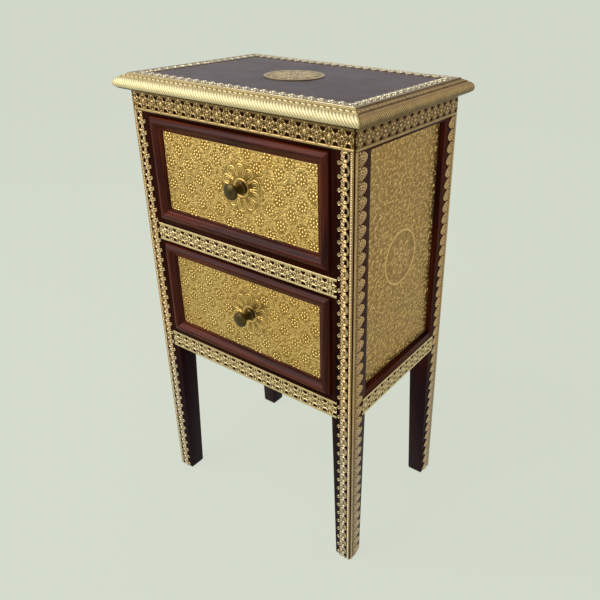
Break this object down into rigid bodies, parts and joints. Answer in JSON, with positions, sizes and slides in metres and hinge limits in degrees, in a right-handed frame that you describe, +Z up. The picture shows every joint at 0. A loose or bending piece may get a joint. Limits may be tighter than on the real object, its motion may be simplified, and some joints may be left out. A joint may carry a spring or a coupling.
{
  "type": "bedside cabinet",
  "caption": "Narrow bedside cabinet on tapered legs, dark hardwood clad in pierced and embossed brass sheet, with sliding drawers and turned knobs.",
  "frame": {"origin": "on the floor under the middle of the whole object, knobs included", "axes": "+Z up, -Y out of the front, +X to the right of someone who faces the drawers"},
  "size_m": [0.4138, 0.295, 0.7039],
  "materials": {
    "wood": "dark stained hardwood, polished",
    "plywood": "unpolished secondary wood and plywood",
    "brass": "embossed and pierced sheet, bright with darkened recesses",
    "bronze": "aged dark bronze",
    "steel": "plain screw steel"
  },
  "bodies": {
    "cabinet": {"post_front_left": "wood", "post_front_right": "wood", "post_back_left": "wood", "post_back_right": "wood", "front_top_rail": "wood", "front_mid_rail": "wood", "front_bottom_rail": "wood", "left_top_rail": "wood", "left_bottom_rail": "wood", "right_top_rail": "wood", "right_bottom_rail": "wood", "back_top_rail": "wood", "back_bottom_rail": "wood", "left_side_panel": "wood", "right_side_panel": "wood", "top_board": "wood", "back_panel": "plywood", "upper_left_runner": "plywood", "upper_right_runner": "plywood", "lower_left_runner": "plywood", "lower_right_runner": "plywood", "top_edge_brass_front": "brass", "top_edge_brass_right": "brass", "top_edge_brass_back": "brass", "top_edge_brass_left": "brass", "top_medallion": "brass", "front_top_strip": "brass", "front_mid_strip": "brass", "front_bottom_strip": "brass", "left_top_strip": "brass", "left_bottom_strip": "brass", "right_top_strip": "brass", "right_bottom_strip": "brass", "front_left_scroll_strip": "brass", "front_right_scroll_strip": "brass", "left_front_leaf_strip": "brass", "left_back_leaf_strip": "brass", "right_front_leaf_strip": "brass", "right_back_leaf_strip": "brass", "left_side_sheet": "brass", "right_side_sheet": "brass"},
    "upper_drawer": {"upper_drawer_front": "wood", "upper_drawer_moulding": "wood", "upper_drawer_sheet": "brass", "upper_drawer_knob": "bronze", "upper_drawer_knob_screw": "steel", "upper_drawer_left_side": "plywood", "upper_drawer_right_side": "plywood", "upper_drawer_back": "plywood", "upper_drawer_bottom": "plywood"},
    "lower_drawer": {"lower_drawer_front": "wood", "lower_drawer_moulding": "wood", "lower_drawer_sheet": "brass", "lower_drawer_knob": "bronze", "lower_drawer_knob_screw": "steel", "lower_drawer_left_side": "plywood", "lower_drawer_right_side": "plywood", "lower_drawer_back": "plywood", "lower_drawer_bottom": "plywood"}
  },
  "joints": [
    {"name": "upper_drawer_slide", "type": "slide", "parent": "cabinet", "child": "upper_drawer", "axis": [0, -1, 0], "range_m": [0, 0.16]},
    {"name": "lower_drawer_slide", "type": "slide", "parent": "cabinet", "child": "lower_drawer", "axis": [0, -1, 0], "range_m": [0, 0.16]}
  ]
}
